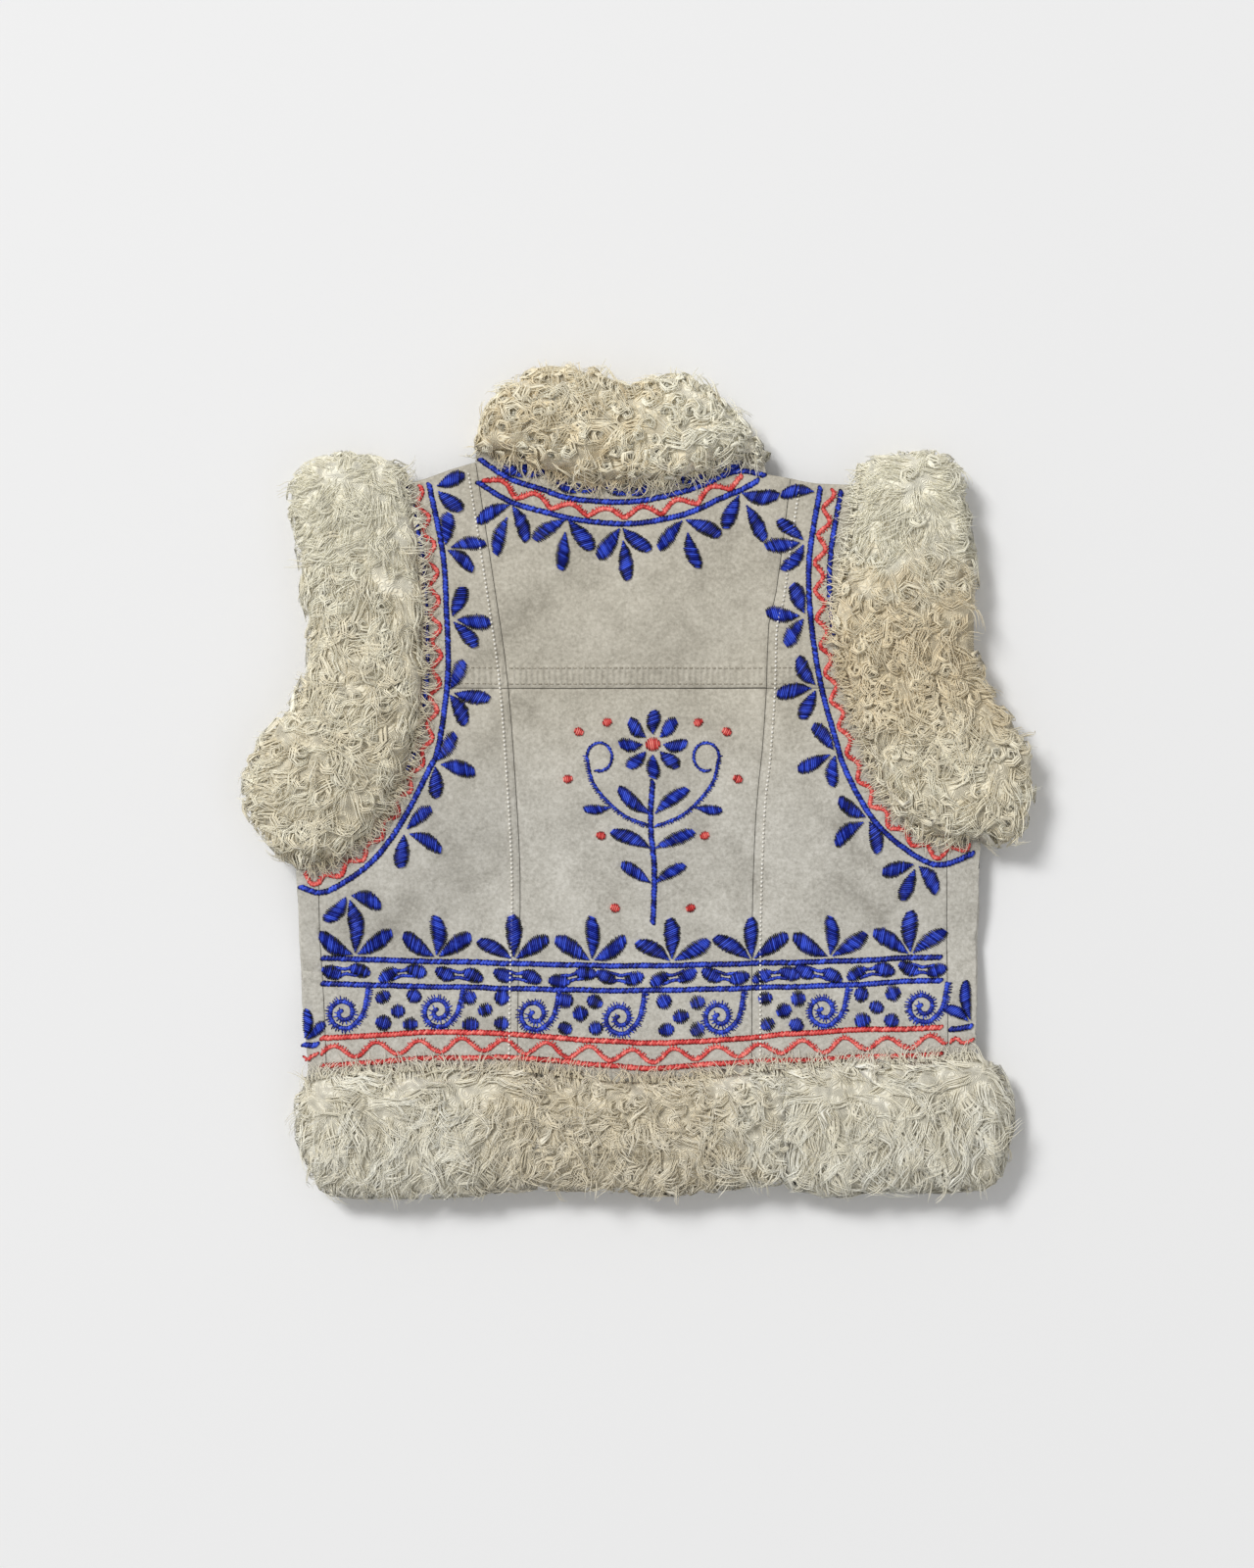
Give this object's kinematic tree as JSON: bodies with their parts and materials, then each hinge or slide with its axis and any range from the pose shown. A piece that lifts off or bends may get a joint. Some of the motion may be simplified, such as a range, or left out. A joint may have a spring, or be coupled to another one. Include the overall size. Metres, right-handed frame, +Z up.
{
  "type": "embroidered sheepskin vest",
  "caption": "Sleeveless cropped suede vest laid flat back up, with embroidered seamed panels and thick lamb's wool trims at neck, armholes and hem.",
  "frame": {"origin": "under the middle of the whole vest's box, on the surface that it lies on", "axes": "+Z up out of the back, +Y towards the collar, +X towards the right of the picture"},
  "size_m": [0.5046, 0.5285, 0.0382],
  "materials": {
    "suede": "matte napped suede",
    "wool_cream": "soft cream lamb's wool",
    "wool_tan": "curly tan lamb's wool",
    "wool_white": "long white lamb's wool"
  },
  "bodies": {
    "root": {"back_yoke": "suede", "back_center": "suede", "back_side_left_upper": "suede", "back_side_left_lower": "suede", "back_side_right_upper": "suede", "back_side_right_lower": "suede", "collar_stand": "suede", "front_left": "suede", "front_right": "suede", "armhole_wool_left_back": "wool_cream", "armhole_wool_left_front": "wool_cream", "armhole_wool_right_back": "wool_cream", "armhole_wool_right_front": "wool_cream", "hem_wool_back_left": "wool_cream", "hem_wool_front_left": "wool_cream", "hem_wool_front_right": "wool_cream", "collar_wool_back": "wool_tan", "collar_wool_front_left": "wool_tan", "collar_wool_front_right": "wool_tan", "hem_wool_back_center": "wool_tan", "hem_wool_back_right": "wool_white"}
  },
  "joints": []
}
